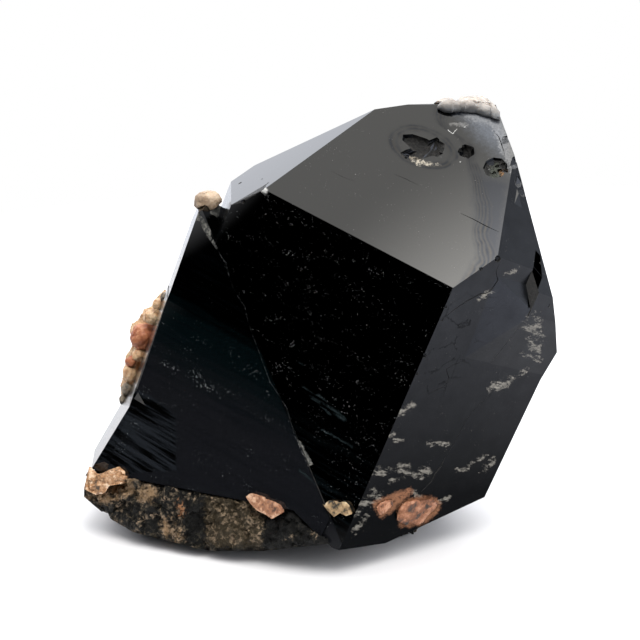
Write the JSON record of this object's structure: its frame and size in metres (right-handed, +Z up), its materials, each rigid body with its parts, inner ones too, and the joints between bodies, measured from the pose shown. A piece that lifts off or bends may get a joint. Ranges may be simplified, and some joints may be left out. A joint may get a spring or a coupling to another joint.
{
  "type": "morion quartz point",
  "caption": "Black smoky quartz crystal with a blunt pyramid top, leaning on granular matrix with pink and cream feldspar grains; rests on its flat underside.",
  "frame": {"origin": "on the floor, under the middle of the whole piece", "axes": "+Z up from the floor it rests on, +X to the right as seen from the front, -Y towards the viewer"},
  "size_m": [0.0984, 0.0646, 0.0907],
  "materials": {
    "quartz": "natural glassy crystal faces, almost black",
    "matrix": "rough granular rock",
    "feldspar": "dull grains with small cleavage faces",
    "cream_feldspar": "dull cream grains"
  },
  "bodies": {
    "root": {"quartz_crystal": "quartz", "matrix_base": "matrix", "feldspar_cluster": "feldspar", "feldspar_tip_nodule": "cream_feldspar", "feldspar_tip_crust": "cream_feldspar", "feldspar_corner": "feldspar", "feldspar_grain_left": "feldspar", "feldspar_grain_middle": "cream_feldspar", "feldspar_grain_right": "feldspar", "feldspar_patch_right": "feldspar"}
  },
  "joints": []
}
